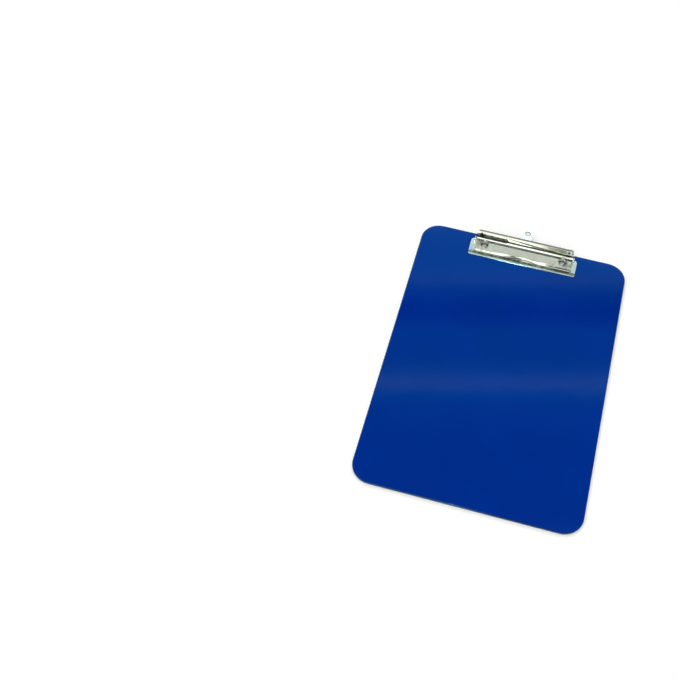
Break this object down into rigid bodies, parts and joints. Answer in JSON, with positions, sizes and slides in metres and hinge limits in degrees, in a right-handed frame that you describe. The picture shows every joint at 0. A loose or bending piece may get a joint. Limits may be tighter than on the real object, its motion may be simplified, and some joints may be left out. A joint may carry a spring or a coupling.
{
  "type": "clipboard",
  "caption": "Flat A4 clipboard: a glossy blue moulded board with round corners, a sprung nickel-plated jaw along its top edge and a sliding hanger with an eye.",
  "frame": {"origin": "centre of the board's flat back face", "axes": "+X across the board, +Y up the board to the clip, +Z out of the writing face"},
  "size_m": [0.24, 0.3764, 0.0141],
  "materials": {
    "board_plastic": "glossy deep blue moulded plastic, faintly uneven",
    "base_nickel": "bright nickel plate on pressed steel",
    "jaw_nickel": "bright nickel plate on pressed steel, satin on the raised panel",
    "rod_steel": "drawn steel rod with upset ends",
    "spring_wire": "drawn spring wire, lightly oiled",
    "hanger_nickel": "bright nickel plate",
    "rivet_nickel": "nickel-plated rivet"
  },
  "bodies": {
    "base": {"board": "board_plastic", "clip_base": "base_nickel", "pivot_rod": "rod_steel", "spring_left": "spring_wire", "spring_right": "spring_wire", "rivet_left": "rivet_nickel", "rivet_right": "rivet_nickel"},
    "jaw": {"clip_jaw": "jaw_nickel"},
    "hanger_slide_plate": {"hanger": "hanger_nickel"}
  },
  "joints": [
    {"name": "jaw_hinge", "type": "hinge", "parent": "base", "child": "jaw", "pos_m": [0, 0.166, 0.00705], "axis": [-1, 0, 0], "range_deg": [0, 35], "stiffness_Nm_per_rad": 0.12, "springref_deg": -57.3, "deforming": ["spring_left", "spring_right"]},
    {"name": "hanger_slide", "type": "slide", "parent": "base", "child": "hanger_slide_plate", "axis": [0, 1, 0], "range_m": [-0.014, 0]}
  ]
}
